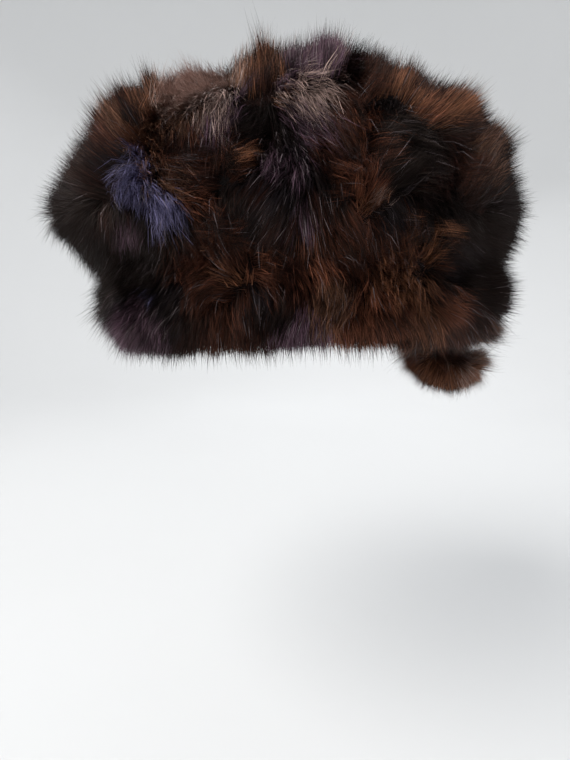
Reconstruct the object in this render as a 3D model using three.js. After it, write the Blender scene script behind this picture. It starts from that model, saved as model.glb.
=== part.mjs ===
// A patchwork fur cap: a puffed crown over a padded cuff band, both in deep fur, and a short
// fur tail that hangs from the hem. Millimetres, +Z up, the front looks along -Y.
// The origin is the centre of the head opening at the hem plane.

import * as THREE from 'three';

// Driving dimensions
const PILE = 14;              // from the hide to the dense tips of the fur
const HIDE = 3;               // wall of the crown's hide
const GAP = 0.3;              // clearance between neighbouring pieces
const BACK_GAP = 0.5;         // clearance behind the fur, measured along the rings
const SEAM_Z = 48;            // height where the crown is sewn to the band
const CUFF_BOTTOM = 5;        // underside of the padded cuff, above the fur that rolls under it
const OPENING = { hx: 82, hy: 92 };   // half axes of the head opening
const LOCK = 12.5;            // width of a lock of fur at its root
const LOCK_RISE = 10;         // from the backing to the tip of a lock
const LOCK_LEAN = 10;         // how far a tip is combed down the slope
const LOCK_PROUD = 2.5;       // how far the tips pass the dense surface
const LOCK_SCATTER = 0.5;     // how far the roots stray from their row, as a share of its width
const HIDE_STEP = 25;         // facet size on the crown's hide
const SEAM_STEP = 0.4;        // least rise from ring to ring above the seam
const CUFF_STEP = 20;         // facet size round the cuff
const CUFF_STOPS = [0, 0.2, 0.4, 0.6, 0.8];   // rings down the cuff, as shares of its profile
const EDGE_ROUND = 3;         // rounding of the cuff's inner edges
const HEM_TUCK = 3;           // how far the cuff's hem lies inside its outer face
const HEM_BACKING = 2.5;      // thickness of the fur where it rolls under the hem
const HEM_TIP_Z = -2;         // lowest tips of the band's fur
const TAIL_STEP = 9;          // facet size on the tail
const TAIL_AZIMUTH = 20;      // degrees from the right side towards the back

// Dense surface of the fur, from the seam to the top. cx, cy: centre; hx, hy: half axes.
const CROWN_SECTIONS = [
  { z: 48, cx: 5, hx: 120, cy: 2, hy: 119 },
  { z: 53, cx: 3, hx: 126, cy: 2, hy: 124 },
  { z: 61, cx: 1, hx: 131, cy: 2, hy: 128 },
  { z: 71, cx: 0, hx: 134, cy: 2, hy: 130 },
  { z: 84, cx: 1, hx: 131, cy: 2, hy: 127 },
  { z: 101, cx: 2, hx: 125, cy: 2, hy: 121 },
  { z: 118, cx: 2, hx: 116, cy: 2, hy: 110 },
  { z: 132, cx: 2, hx: 102, cy: 2, hy: 96 },
  { z: 142, cx: 6, hx: 82, cy: 2, hy: 78 },
  { z: 150, cx: 13, hx: 56, cy: 2, hy: 54 },
  { z: 156, cx: 19, hx: 28, cy: 2, hy: 27 },
  { z: 158, cx: 22, hx: 0, cy: 2, hy: 0 },
];

// The same for the band, from the seam down to where the fur rolls under the cuff.
const BAND_SECTIONS = [
  { z: 48, cx: 5, hx: 120, cy: 2, hy: 119 },
  { z: 40, cx: 8, hx: 120, cy: 2, hy: 119 },
  { z: 30, cx: 9, hx: 122, cy: 2, hy: 120 },
  { z: 20, cx: 10, hx: 121, cy: 2, hy: 119 },
  { z: 10, cx: 10, hx: 116, cy: 2, hy: 115 },
  { z: 2, cx: 9, hx: 107, cy: 2, hy: 108 },
];

// The hem lifts at the front right. Azimuth in degrees from +X, lift in mm at the hem.
const HEM_LIFT = [
  { azimuth: -180, lift: 1 },
  { azimuth: -135, lift: -1 },
  { azimuth: -105, lift: 2 },
  { azimuth: -75, lift: 5 },
  { azimuth: -45, lift: 6 },
  { azimuth: 0, lift: 2 },
  { azimuth: 90, lift: 1 },
  { azimuth: 180, lift: 1 },
];

// Swells and dents of the pelts: centre, radius of effect, rise (a dent is negative).
const LUMPS = [
  { x: -35, y: -104, z: 116, radius: 22, rise: 4 },
  { x: 18, y: -100, z: 124, radius: 30, rise: 7 },
  { x: -48, y: -84, z: 132, radius: 28, rise: -6 },
  { x: -12, y: -120, z: 95, radius: 15, rise: -6 },
  { x: 27, y: -120, z: 89, radius: 10, rise: -5 },
  { x: 35, y: -123, z: 69, radius: 14, rise: 3 },
  { x: 45, y: -109, z: 104, radius: 12, rise: -5 },
  { x: 58, y: -111, z: 88, radius: 13, rise: -5 },
  { x: 72, y: -88, z: 115, radius: 22, rise: 5 },
  { x: 94, y: -85, z: 88, radius: 16, rise: 3 },
  { x: 51, y: -115, z: 60, radius: 13, rise: -5 },
  { x: -94, y: -86, z: 81, radius: 24, rise: 3 },
  { x: -124, y: -47, z: 76, radius: 26, rise: 5 },
  { x: -104, y: -42, z: 124, radius: 24, rise: -3 },
  { x: -35, y: -119, z: 85, radius: 15, rise: -4 },
  { x: -16, y: -123, z: 58, radius: 15, rise: -6 },
  { x: 65, y: -102, z: 44, radius: 14, rise: 4 },
  { x: -20, y: -113, z: 36, radius: 17, rise: 5 },
  { x: 27, y: -116, z: 26, radius: 10, rise: -5 },
  { x: 41, y: -110, z: 16, radius: 18, rise: 4 },
  { x: -12, y: -115, z: 22, radius: 12, rise: -5 },
  { x: -74, y: -85, z: 44, radius: 18, rise: -5 },
  { x: -94, y: -57, z: 24, radius: 12, rise: -5 },
  { x: -72, y: -79, z: 16, radius: 18, rise: 4 },
  { x: 106, y: -66, z: 30, radius: 20, rise: 4 },
  { x: 75, y: -95, z: 18, radius: 13, rise: 4 },
  { x: 8, y: -113, z: 13, radius: 12, rise: 4 },
  { x: 60, y: 96, z: 100, radius: 26, rise: 5 },
  { x: -40, y: 112, z: 92, radius: 28, rise: 4 },
  { x: 8, y: 122, z: 84, radius: 18, rise: -6 },
  { x: -100, y: 60, z: 96, radius: 26, rise: -4 },
  { x: 112, y: 40, z: 92, radius: 24, rise: 4 },
  { x: -30, y: 20, z: 150, radius: 32, rise: -5 },
  { x: 40, y: 50, z: 142, radius: 28, rise: 4 },
  { x: 0, y: 117, z: 30, radius: 18, rise: 4 },
  { x: -70, y: 92, z: 32, radius: 18, rise: -4 },
  { x: 70, y: 96, z: 34, radius: 16, rise: -4 },
];

// The tail, from its sewn root to its tip. out: distance of the centre from the cap's axis.
const TAIL_SECTIONS = [
  { out: 101, radius: 8, locks: false },   // at the underside of the cuff
  { z: -2, out: 102, radius: 9, locks: true },
  { z: -6, out: 110, radius: 18, locks: true },
  { z: -13, out: 118, radius: 25, locks: true },
  { z: -21, out: 121, radius: 24, locks: true },
  { z: -28, out: 122, radius: 18, locks: true },
  { z: -32, out: 122, radius: 9, locks: true },
];
const TAIL_TIP_Z = -34;
const TAIL_LOCK_RISE = 7;
const TAIL_LOCK_LEAN = 4;
const TAIL_LOCK_TOP = -3;     // the tail's own fur stays under that of the band

const TAU = 2 * Math.PI;
const radians = THREE.MathUtils.degToRad;

// A repeatable number from 0 to 1 for the n-th lock
function chance(n) {
  const wave = Math.sin(n * 12.9898 + 4.1414) * 43758.5453;
  return wave - Math.floor(wave);
}

// Smooth profile through a table of sections, at t from 0 to 1
function makeProfile(sections) {
  const axes = new THREE.CatmullRomCurve3(
    sections.map((s) => new THREE.Vector3(s.hx, s.hy, s.z)), false, 'catmullrom', 0.5);
  const centres = new THREE.CatmullRomCurve3(
    sections.map((s) => new THREE.Vector3(s.cx, s.cy, 0)), false, 'catmullrom', 0.5);
  return (t) => {
    const axis = axes.getPoint(t);
    const centre = centres.getPoint(t);
    return {
      hx: Math.max(axis.x, 0), hy: Math.max(axis.y, 0), z: axis.z, cx: centre.x, cy: centre.y,
    };
  };
}

// Lift of the hem at an azimuth, in radians, eased between the rows of its table
function hemLift(azimuth) {
  const degrees = THREE.MathUtils.radToDeg(Math.atan2(Math.sin(azimuth), Math.cos(azimuth)));
  const next = Math.max(1, HEM_LIFT.findIndex((row) => row.azimuth >= degrees));
  const a = HEM_LIFT[next - 1];
  const b = HEM_LIFT[next];
  const share = THREE.MathUtils.smoothstep(degrees, a.azimuth, b.azimuth);
  return a.lift + (b.lift - a.lift) * share;
}

// Point of the bare dense surface, before swells, dents and depth
function barePoint(profile, t, azimuth) {
  const s = profile(t);
  const hang = THREE.MathUtils.clamp(1 - s.z / SEAM_Z, 0, 1);
  return new THREE.Vector3(
    s.cx + s.hx * Math.cos(azimuth),
    s.cy + s.hy * Math.sin(azimuth),
    s.z + hang * hemLift(azimuth));
}

// Outward normal of the bare surface
function bareNormal(profile, t, azimuth) {
  const step = 0.01;
  const inner = Math.min(Math.max(t, step), 1 - 2 * step);
  const alongT = barePoint(profile, inner + step, azimuth)
    .sub(barePoint(profile, inner - step, azimuth));
  const round = barePoint(profile, inner, azimuth + step)
    .sub(barePoint(profile, inner, azimuth - step));
  const normal = round.cross(alongT).normalize();
  const s = profile(inner);
  const outward = barePoint(profile, inner, azimuth).sub(new THREE.Vector3(s.cx, s.cy, 40));
  return normal.dot(outward) < 0 ? normal.negate() : normal;
}

// How far the lumps push the surface out at a point
function lumpRise(point) {
  let rise = 0;
  for (const lump of LUMPS) {
    const away = point.distanceToSquared(lump) / (lump.radius * lump.radius);
    rise += lump.rise * Math.exp(-1.5 * away);
  }
  return rise;
}

// Point at a depth under the dense surface, lumps included
function peltPoint(profile, t, azimuth, depth) {
  const bare = barePoint(profile, t, azimuth);
  return bare.addScaledVector(bareNormal(profile, t, azimuth), lumpRise(bare) - depth);
}

// Values of t that cut the profile between two limits into steps of nearly equal length
function evenSteps(profile, from, to, step) {
  const samples = 200;
  const lengths = [0];
  const at = (k) => from + (to - from) * k / samples;
  for (let k = 1; k <= samples; k += 1) {
    const a = profile(at(k - 1));
    const b = profile(at(k));
    lengths.push(lengths[k - 1] + Math.hypot(b.hx - a.hx, b.z - a.z));
  }
  const total = lengths[samples];
  const count = Math.max(1, Math.round(total / step));
  const result = [];
  for (let n = 0; n <= count; n += 1) {
    const wanted = total * n / count;
    const k = lengths.findIndex((length) => length >= wanted - 1e-9);
    result.push(at(k));
  }
  return result;
}

// One ring of points round the cap. Every second ring is turned by half a step, and the points
// may stray from it by a share of the profile.
function peltRing(profile, t, depth, step, order, scatter = 0) {
  const s = profile(t);
  const girth = TAU * Math.sqrt((s.hx * s.hx + s.hy * s.hy) / 2);
  const count = Math.max(5, Math.round(girth / step));
  const phase = (order % 2) / 2;
  const ring = [];
  for (let i = 0; i < count; i += 1) {
    const strayed = t + scatter * (chance(order * 97 + i) - 0.5);
    const at = THREE.MathUtils.clamp(strayed, 0, 1);
    ring.push(peltPoint(profile, at, TAU * (i + phase) / count, depth));
  }
  return ring;
}

// Rings at one depth from the seam to the top point. The first lies flat in the seam, and the
// rest stay above it.
function crownRings(depth, step, scatter = 0) {
  const profile = makeProfile(CROWN_SECTIONS);
  const stops = evenSteps(profile, 0, 1, step);
  const stray = scatter / stops.length;
  const rings = stops.slice(0, -1).map(
    (t, order) => peltRing(profile, t, depth, step, order, order > 0 ? stray : 0));
  const top = profile(1);
  rings.push([peltPoint(profile, 1, 0, depth).setX(top.cx).setY(top.cy)]);
  for (const [order, ring] of rings.entries()) {
    const lowest = SEAM_Z + GAP / 2 + SEAM_STEP * order;
    for (const point of ring) point.z = order > 0 ? Math.max(point.z, lowest) : lowest;
  }
  return rings;
}

// The same face, looking the other way
function flip([p, q, r]) {
  return [q, p, r];
}

// Triangles between two rings that may differ in their number of points
function stitch(a, b) {
  if (b.length === 1) return a.map((point, i) => [point, a[(i + 1) % a.length], b[0]]);
  if (a.length === 1) return stitch(b, a).map(flip);
  const faces = [];
  let i = 0;
  let j = 0;
  while (i < a.length || j < b.length) {
    const p = a[i % a.length];
    const q = b[j % b.length];
    const stepOnA = j >= b.length || (i < a.length && (i + 1) / a.length <= (j + 1) / b.length);
    if (stepOnA) {
      faces.push([p, a[(i + 1) % a.length], q]);
      i += 1;
    } else {
      faces.push([p, b[(j + 1) % b.length], q]);
      j += 1;
    }
  }
  return faces;
}

// Raise one lock of fur on a facet: three faces to a tip combed down the slope
function raiseLock(face, outwardSign, rise, lean, limit, n) {
  const [p, q, r] = face;
  const normal = q.clone().sub(p).cross(r.clone().sub(p)).normalize().multiplyScalar(outwardSign);
  const down = new THREE.Vector3(0, 0, -1);
  down.addScaledVector(normal, -down.dot(normal));
  const tip = p.clone().add(q).add(r).divideScalar(3);
  tip.addScaledVector(normal, rise * (0.75 + 0.4 * chance(n)));
  tip.addScaledVector(down, lean * (0.7 + 0.5 * chance(n + 0.5)));
  tip.z = limit(tip.z);
  return [[p, q, tip], [q, r, tip], [r, p, tip]];
}

// A closed body from a list of strips of faces, with its faces pointing out
function closedBody(faces) {
  let volume = 0;
  for (const [p, q, r] of faces) volume += p.dot(q.clone().cross(r));
  const positions = [];
  for (const [p, q, r] of faces) {
    const order = volume < 0 ? [p, r, q] : [p, q, r];
    for (const point of order) positions.push(point.x, point.y, point.z);
  }
  const geometry = new THREE.BufferGeometry();
  geometry.setAttribute('position', new THREE.Float32BufferAttribute(positions, 3));
  geometry.computeVertexNormals();
  return geometry;
}

// All strips between consecutive rings
function strips(rings) {
  return rings.slice(1).map((ring, k) => stitch(rings[k], ring));
}

// A wall between an outer and an inner set of rings, both from the seam to the top
function wall(outer, inner, makeFur) {
  const outside = strips(outer).flat();
  const inside = strips(inner).flat().map(flip);
  const edge = stitch(inner[0], outer[0]);
  return [...makeFur(outside), ...inside, ...edge];
}

function crownSkin() {
  const outer = crownRings(PILE, HIDE_STEP);
  const inner = crownRings(PILE + HIDE, HIDE_STEP);
  return closedBody(wall(outer, inner, (faces) => faces));
}

function crownFur() {
  const outer = crownRings(LOCK_RISE - LOCK_PROUD, LOCK, LOCK_SCATTER);
  const inner = crownRings(PILE - BACK_GAP, HIDE_STEP);
  const limit = (z) => Math.max(z, SEAM_Z + GAP / 2);
  const furred = (faces) => faces.flatMap(
    (face, n) => raiseLock(face, 1, LOCK_RISE, LOCK_LEAN, limit, n));
  return closedBody(wall(outer, inner, furred));
}

// Rings down the outside of the cuff at a depth, ending with one under its hem
function cuffOutside(depth, hemZ) {
  const profile = makeProfile(BAND_SECTIONS);
  const ring = (t, under, order) => peltRing(profile, t, under, CUFF_STEP, order);
  const rings = CUFF_STOPS.map((t, order) => ring(t, depth, order));
  for (const point of rings[0]) point.z = SEAM_Z - GAP / 2;
  return [...rings, hemAt(ring(CUFF_STOPS.at(-1), depth + HEM_TUCK, CUFF_STOPS.length), hemZ)];
}

// Put a ring at a height over the hem plane, following the lift of the hem
function hemAt(ring, z) {
  for (const point of ring) point.z = z + hemLift(Math.atan2(point.y, point.x));
  return ring;
}

// Ring of the head opening, widened where its edge is rounded
function openingRing(widen, count) {
  return Array.from({ length: count }, (_, i) => new THREE.Vector3(
    (OPENING.hx + widen) * Math.cos(TAU * i / count),
    (OPENING.hy + widen) * Math.sin(TAU * i / count),
    SEAM_Z / 2));
}

function cuffSkin() {
  const outside = cuffOutside(PILE, CUFF_BOTTOM);
  const count = outside[0].length;
  const top = SEAM_Z - GAP / 2;
  const atHeight = (ring, z) => ring.map((point) => point.setZ(z));
  const rings = [
    ...outside,
    hemAt(openingRing(EDGE_ROUND, count), CUFF_BOTTOM),
    hemAt(openingRing(0, count), CUFF_BOTTOM + EDGE_ROUND),
    openingRing(0, count),
    atHeight(openingRing(0, count), top - EDGE_ROUND),
    atHeight(openingRing(EDGE_ROUND, count), top),
  ];
  return closedBody([...strips(rings).flat(), ...stitch(rings.at(-1), rings[0])]);
}

function bandFur() {
  const profile = makeProfile(BAND_SECTIONS);
  const top = SEAM_Z - GAP / 2;
  const backing = LOCK_RISE - LOCK_PROUD;
  const thinning = (t) => THREE.MathUtils.lerp(
    backing, HEM_BACKING, THREE.MathUtils.smoothstep(t, 0.6, 1));
  const stops = evenSteps(profile, 0, 1, LOCK);
  const stray = LOCK_SCATTER / stops.length;
  const outer = stops.map(
    (t, order) => peltRing(profile, t, thinning(t), LOCK, order, order > 0 ? stray : 0));
  for (const point of outer[0]) point.z = top;
  const inside = cuffOutside(PILE - BACK_GAP, CUFF_BOTTOM - BACK_GAP);
  const hem = hemAt(inside.at(-1).map((point) => point.clone()), HEM_BACKING);
  const limit = (z) => THREE.MathUtils.clamp(z, HEM_TIP_Z, top);
  const fur = strips([...outer, hem]).flat().flatMap(
    (face, n) => raiseLock(face, -1, LOCK_RISE, LOCK_LEAN, limit, n));
  const bottom = stitch(hem, inside.at(-1));
  const back = strips(inside).flat().map(flip);
  const edge = stitch(inside[0], outer[0]);
  return closedBody([...fur, ...bottom, ...back, ...edge]);
}

function tailBody() {
  const heading = radians(TAIL_AZIMUTH);
  const rootZ = CUFF_BOTTOM + hemLift(heading) - GAP;
  const centreAt = (s) => new THREE.Vector3(
    s.out * Math.cos(heading), s.out * Math.sin(heading), s.z ?? rootZ);
  const ringAt = (s, order) => {
    const count = Math.max(8, Math.round(TAU * s.radius / TAIL_STEP));
    const centre = centreAt(s);
    return Array.from({ length: count }, (_, i) => {
      const angle = TAU * (i + (order % 2) / 2) / count;
      return centre.clone().add(new THREE.Vector3(
        s.radius * Math.cos(angle), s.radius * Math.sin(angle), 0));
    });
  };
  const rings = TAIL_SECTIONS.map(ringAt);
  const root = centreAt(TAIL_SECTIONS[0]);
  const tip = centreAt(TAIL_SECTIONS.at(-1)).setZ(TAIL_TIP_Z);
  const limit = (z) => Math.min(z, TAIL_LOCK_TOP);
  const faces = strips([[root], ...rings, [tip]]).flatMap((strip, k) => {
    const furred = k > 0 && TAIL_SECTIONS[k - 1].locks;
    return furred
      ? strip.flatMap((face, n) => raiseLock(face, -1, TAIL_LOCK_RISE, TAIL_LOCK_LEAN, limit, n))
      : strip;
  });
  return closedBody(faces);
}

// Finishes
const fur = (color) => new THREE.MeshStandardMaterial({ color, roughness: 0.7, metalness: 0 });
const hide = new THREE.MeshStandardMaterial({ color: 0x6f5a4a, roughness: 0.85, metalness: 0 });

// The assembly
const group = new THREE.Group();
const pieces = [
  ['crown_skin', crownSkin(), hide],
  ['crown_fur', crownFur(), fur(0x3a2a24)],
  ['band_skin', cuffSkin(), hide],
  ['band_fur', bandFur(), fur(0x33241f)],
  ['tail', tailBody(), fur(0x5a3a2c)],
];
for (const [name, geometry, material] of pieces) {
  const mesh = new THREE.Mesh(geometry, material);
  mesh.name = name;
  group.add(mesh);
}

export default group;
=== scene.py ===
"""Dresses a patchwork fur cap: smooth hides, underfur shells and fur planted strand by strand."""

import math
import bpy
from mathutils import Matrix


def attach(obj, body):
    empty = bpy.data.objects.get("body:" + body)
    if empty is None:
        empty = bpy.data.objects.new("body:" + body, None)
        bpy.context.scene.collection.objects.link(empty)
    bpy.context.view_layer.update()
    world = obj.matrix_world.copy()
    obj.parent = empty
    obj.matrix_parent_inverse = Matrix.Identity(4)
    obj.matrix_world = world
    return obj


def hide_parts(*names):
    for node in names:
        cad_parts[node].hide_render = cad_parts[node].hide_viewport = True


bl_info = {
    "name": "Fur Cap",
    "version": (1, 0, 0),
    "blender": (4, 5, 0),
    "location": "View3D > Sidebar > Fur Cap",
    "description": "Models a puffed fur crown on a padded fur band, with a short fur tail",
    "category": "Add Mesh",
}

from collections import namedtuple

import bpy
import numpy as np
from bpy.props import FloatProperty, FloatVectorProperty, IntProperty, PointerProperty
from mathutils import Vector, noise
from mathutils.kdtree import KDTree

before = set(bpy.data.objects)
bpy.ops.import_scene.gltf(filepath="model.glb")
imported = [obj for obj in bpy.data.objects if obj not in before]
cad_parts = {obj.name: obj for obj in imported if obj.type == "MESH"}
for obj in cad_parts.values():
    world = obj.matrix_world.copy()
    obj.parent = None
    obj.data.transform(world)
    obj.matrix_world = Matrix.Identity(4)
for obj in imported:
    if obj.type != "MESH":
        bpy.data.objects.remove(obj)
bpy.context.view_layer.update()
MM = 0.001

# Form of the cap, in millimetres: the dense surface of the fur, from section to section.
# cx, cy: centre; hx, hy: half axes. -Y is the front.
Section = namedtuple("Section", "z cx hx cy hy")
CROWN_SECTIONS = [Section(*row) for row in (
    (48, 5, 120, 2, 119),
    (53, 3, 126, 2, 124),
    (61, 1, 131, 2, 128),
    (71, 0, 134, 2, 130),
    (84, 1, 131, 2, 127),
    (101, 2, 125, 2, 121),
    (118, 2, 116, 2, 110),
    (132, 2, 102, 2, 96),
    (142, 6, 82, 2, 78),
    (150, 13, 56, 2, 54),
    (156, 19, 28, 2, 27),
)]
CROWN_TOP = (22, 2, 158)
BAND_SECTIONS = [Section(*row) for row in (
    (48, 5, 120, 2, 119),
    (40, 8, 120, 2, 119),
    (30, 9, 122, 2, 120),
    (20, 10, 121, 2, 119),
    (10, 10, 116, 2, 115),
    (2, 9, 107, 2, 108),
)]
SEAM_Z = 48
OPENING = (82, 92)

# The padded cuff inside the band
CUFF_DEPTH = 14.5
CUFF_BOTTOM = 5
CUFF_BRIM = SEAM_Z - 0.5
CUFF_ROUNDING = 3
CUFF_FOOT = Section(CUFF_BOTTOM, 6, OPENING[0] + 9, 1, OPENING[1] + 7)
CUFF_INSIDE_HEIGHTS = (CUFF_BRIM - 4, CUFF_BRIM / 2, CUFF_BOTTOM + 5)

# Lift of the hem in mm, at azimuths in degrees from +X
HEM_AZIMUTHS = (-180, -135, -105, -75, -45, 0, 90, 180)
HEM_LIFTS = (1, -1, 2, 5, 6, 2, 1, 1)

# Swells and dents of the pelts: place, radius and height in mm
LUMP_FALLOFF = 1.5
Lump = namedtuple("Lump", "x y z radius rise")
LUMPS = [Lump(*row) for row in (
    (-35, -104, 116, 22, 4), (18, -100, 124, 30, 7), (-48, -84, 132, 28, -6),
    (-12, -120, 95, 15, -6), (27, -120, 89, 10, -5), (35, -123, 69, 14, 3),
    (45, -109, 104, 12, -5), (58, -111, 88, 13, -5), (72, -88, 115, 22, 5), (94, -85, 88, 16, 3),
    (51, -115, 60, 13, -5), (-94, -86, 81, 24, 3), (-124, -47, 76, 26, 5),
    (-104, -42, 124, 24, -3), (-35, -119, 85, 15, -4), (-16, -123, 58, 15, -6),
    (65, -102, 44, 14, 4), (-20, -113, 36, 17, 5), (27, -116, 26, 10, -5), (41, -110, 16, 18, 4),
    (-12, -115, 22, 12, -5), (-74, -85, 44, 18, -5), (-94, -57, 24, 12, -5), (-72, -79, 16, 18, 4),
    (106, -66, 30, 20, 4), (75, -95, 18, 13, 4), (8, -113, 13, 12, 4), (60, 96, 100, 26, 5),
    (-40, 112, 92, 28, 4), (8, 122, 84, 18, -6), (-100, 60, 96, 26, -4), (112, 40, 92, 24, 4),
    (-30, 20, 150, 32, -5), (40, 50, 142, 28, 4), (0, 117, 30, 18, 4), (-70, 92, 32, 18, -4),
    (70, 96, 34, 16, -4),
)]

# The tail, from its sewn root to its tip: out is the distance of its centre from the axis
TailSection = namedtuple("TailSection", "z out radius")
TAIL_AZIMUTH = 20
TAIL_SECTIONS = [TailSection(*row) for row in (
    (6, 101, 8),
    (-2, 102, 9),
    (-6, 110, 18),
    (-13, 118, 25),
    (-21, 121, 24),
    (-28, 122, 18),
    (-32, 122, 9),
)]
TAIL_TIP_Z = -34

# The camera in front of the cap. Pixels are those of the 570 by 760 frame.
FRAME_WIDTH = 570
FRAME_HEIGHT = 760
FOCAL_PX = 571
CAMERA_SIDE = -1.26
CAMERA_DISTANCE = 360
CAMERA_HEIGHT = 21
CAMERA_DIP = math.radians(7)
SENSOR_MM = 36
CAMERA_PLACE = (CAMERA_SIDE, -CAMERA_DISTANCE, CAMERA_HEIGHT)

# Making of the skins, in mm
UNDERFUR_DEPTH = 7
UNDERFUR_THICKNESS = 6.7
SEAM_BLEND = 12
TAIL_CORE_DEPTH = 6
AROUND = 48
TAIL_AROUND = 16
FINE_LEVELS = 2
PLAIN_LEVELS = 1
HEM_ROLL = [Section(-2, 9, 100, 2, 101), Section(-2, 9, 92, 2, 95)]

# Strands. A guard hair of mink is about 0.1 mm thick, and the strands are drawn as coarse as they
# need to be to show. Lengths are in mm, and a pair of values is the range of an even draw.
STRAND_MAP = "OFBake"
SORTING_AXIS = (0.79, 0.51, 0.34)

# kept: the strand's corners that are used; order: corners round its faces; starts: where each face
# starts in that order; lengths: way from root to tip, corner by corner
StrandForm = namedtuple("StrandForm", "kept order starts lengths")
BENT = StrandForm((0, 1, 2, 3, 4), (0, 1, 2, 3, 3, 2, 4), (0, 4), (0.0, 0.0, 0.5, 0.5, 1.0))
STRAIGHT = StrandForm((0, 1, 4), (0, 1, 2), (0,), (0.0, 0.0, 1.0))

# Lean and length of the strands, and what sets the guard hairs apart
BENT_SHARE = 0.22
SHORT = 0.9
ROOT_SUNK = 1.0
MIDDLE_RISE = 0.62
MIDDLE_SWEEP = 0.34
MIDDLE_WIDTH = 0.85
MIDDLE_PULL = 0.45
ROLL_RANGE = math.radians(38)
STRAND_STRAY = 0.14
STRAND_RISES = (0.7, 1.1)
STRAND_SWEEPS = (0.65, 1.25)
STRAND_PULLS = (0.5, 1.2)
STRAND_WIDTHS = (0.75, 1.2)
GUARD_SHARE = 0.14
GUARD_RISE = (1.0, 7.5)
GUARD_PULL = 0.35
GUARD_WIDTH = 0.5

# Tufts that the strands gather in, and the wider locks of the pelt
TUFT_BLUR = 1.0
TUFT_STRAY = 0.1
TUFT_GRAIN = 5
TUFT_LIFT = 0.2
TUFT_PULL = (0.05, 0.65)
TUFT_RISES = (0.86, 1.14)
TUFT_SWEEPS = (0.7, 1.3)
LOCK_GRAIN = 13
LOCK_LIFT = 0.26
CROWN_SEED = 11
BAND_SEED = 12
TAIL_SEED = 13

# Painted shade of a strand from root to tip, darker at the root for the shade deep in the pile;
# and shade of its tone from lock to lock, tuft to tuft and hair to hair
STRAND_PAINTED_SHADES = ((0.0, 0.34), (0.35, 0.64), (0.7, 0.93), (1.0, 1.0))
SHADE_LIMITS = (0.02, 0.98)
LOCK_SHADE = 0.3
TUFT_SHADE = 0.3
TUFT_SHADE_STRAY = 0.1
STRAND_SHADE = 0.12
# Paler hairs among the bent ones, which also stand as painted glints: their share, and how much paler
# their tone is
PALE_AND_GLINT_SHARE = 0.35
PALE_AND_GLINT_LIFT = 0.5
DARK_GUARDS = 0.75
# Silver hairs: pale guard hairs, which also stand as painted glints
SILVER_AND_GLINT_SHARE = 0.4
TONE_EDGE = 0.06
TONE_DARK = 0.3
TONE_LIGHT = 2.5

# Reading of the front's patches, and of those drawn at random where the camera doesn't see
TIP_READING = 0.75
STEEPEST = 0.75
CHART_GRAIN = 8
CHART_WOBBLE = 6
CHART_FOCUS = 1.6
CHART_BORDER = 1.3
CHART_LIMIT = -0.3
CHART_FADE = 0.2
EDGE_WOBBLE = 0.05
HIDDEN_TURN = 75
HIDDEN_WOBBLE = 5
HIDDEN_REACH = 14
HIDDEN_SILVER_AND_GLINT = 0.05
HIDDEN_BORDER = 5

# Each use of the smooth noise reads it at a place of its own
Salts = namedtuple("Salts", "chart_x chart_y edge hidden lock tuft shade")
SALTS = Salts(3.0, 7.0, 5.0, 11.0, 2.0, 4.0, 9.0)

# Smallest values, which keep a division or a direction from failing
SHORTEST = 1e-9
FAINTEST = 1e-12
NUDGE = 1e-4

# Hair
KERATIN_IOR = 1.55
HAIR_SPECULAR = 0.14
CROWN_ROUGHNESS = 0.42
SHORT_ROUGHNESS = 0.45

# Dull finishes. dark, pale: shades of the cloud's two tones, and where in the noise they lie;
# cloud, grain: sizes in mm, each with its detail; low: shade in the grain's hollows. The nap of a
# hide is finer than its grain here, which is as coarse as it needs to be to show.
Dull = namedtuple(
    "Dull", "dark dark_at pale pale_at cloud cloud_detail grain grain_detail low relief "
    "roughness specular sheen")
WOOL = Dull(
    dark=0.7, dark_at=0.35, pale=0.9, pale_at=0.65, cloud=30, cloud_detail=4.0, grain=2.5,
    grain_detail=3.0, low=0.35, relief=0.6, roughness=0.95, specular=0.1, sheen=0.0)
SUEDE = Dull(
    dark=0.72, dark_at=0.3, pale=1.1, pale_at=0.7, cloud=25, cloud_detail=5.0, grain=0.9,
    grain_detail=2.0, low=0.8, relief=0.35, roughness=0.88, specular=0.25, sheen=0.2)
NOISE_LOW = 0.3
NOISE_HIGH = 0.7
PAINT_CLOUD = 2000 / 3
PAINT_DARK = 0.97
PAINT_ROUGHNESS = 0.9
PAINT_SPECULAR = 0.2

# A Mix node that multiplies colours: its sockets and settings
MIX_FACTOR, MIX_FIRST, MIX_SECOND, MIX_RESULT = 0, 6, 7, 2
MULTIPLY = {"data_type": "RGBA", "blend_type": "MULTIPLY"}

# Planting, in mm but for the band's share of the crown's sweep
TOP_Z = 124
BAND_SWEEP = 0.75
TAIL_RISE = 8
TAIL_SWEEP = 11

# Studio. The backdrop's rings are radius and height in mm; the lamps' places are in metres.
CAP_MIDDLE = (0, 0, 70)
SKY_STRENGTH = 0.6
CLOSEST_SEEN = 0.01
SWEEP_RINGS = (
    (2200, 2100), (2200, 1100), (2160, 450), (2000, 50), (1750, -180), (1400, -250), (600, -250))
LAMP_SIZE = 1.2
Lamp = namedtuple("Lamp", "title place colour")
LAMPS = (
    Lamp("Key", (-0.9, -0.8, 1.3), (1.0, 0.98, 0.95)),
    Lamp("Fill", (1.5, -0.9, 0.7), (0.95, 0.97, 1.0)),
    Lamp("Back", (0.3, 1.5, 1.2), (1.0, 1.0, 1.0)),
)

# Tones of the fur, in the order of the palette
TONES = (
    "black", "charcoal", "espresso", "brown", "taupe", "light", "rust", "golden",
    "mauve", "slate", "silver",
)
# Pale tones, partly painted highlight and painted sheen: their guard hairs are never made dark
PALE_TONES = (TONES.index("light"), TONES.index("slate"))
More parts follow.
